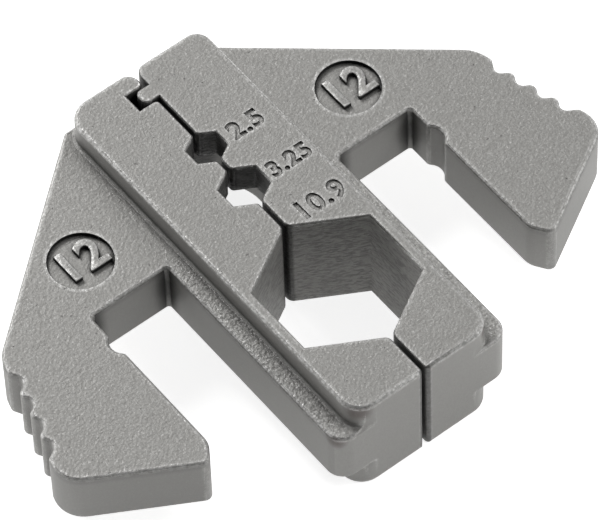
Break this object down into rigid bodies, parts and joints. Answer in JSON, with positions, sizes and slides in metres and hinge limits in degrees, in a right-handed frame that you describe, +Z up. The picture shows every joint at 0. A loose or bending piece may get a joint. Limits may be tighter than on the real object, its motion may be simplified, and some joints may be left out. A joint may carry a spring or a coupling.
{
  "type": "crimping die",
  "caption": "Split steel crimping die with hexagonal nests for ferrules and contact pins, a locating tongue and notch, and toothed arms whose slots slide onto the tool's jaws.",
  "frame": {"origin": "on the face that the pair rests on, midway between the two halves and midway along the block", "axes": "+X across the parting plane towards the tongued half, +Y along the block from the large nest towards the tongue, +Z up from the resting face, which is also the direction of the crimped barrel"},
  "size_m": [0.0512, 0.0356, 0.0101],
  "materials": {
    "sintered_steel": "satin grey sintered steel with a fine pebbled grain and lighter worn edges"
  },
  "bodies": {
    "notched_half": {"notched_die_half": "sintered_steel"},
    "tongued_half": {"tongued_die_half": "sintered_steel"}
  },
  "joints": [
    {"name": "die_opening", "type": "slide", "parent": "notched_half", "child": "tongued_half", "axis": [1, 0, 0], "range_m": [-0.00028, 0.014]}
  ]
}
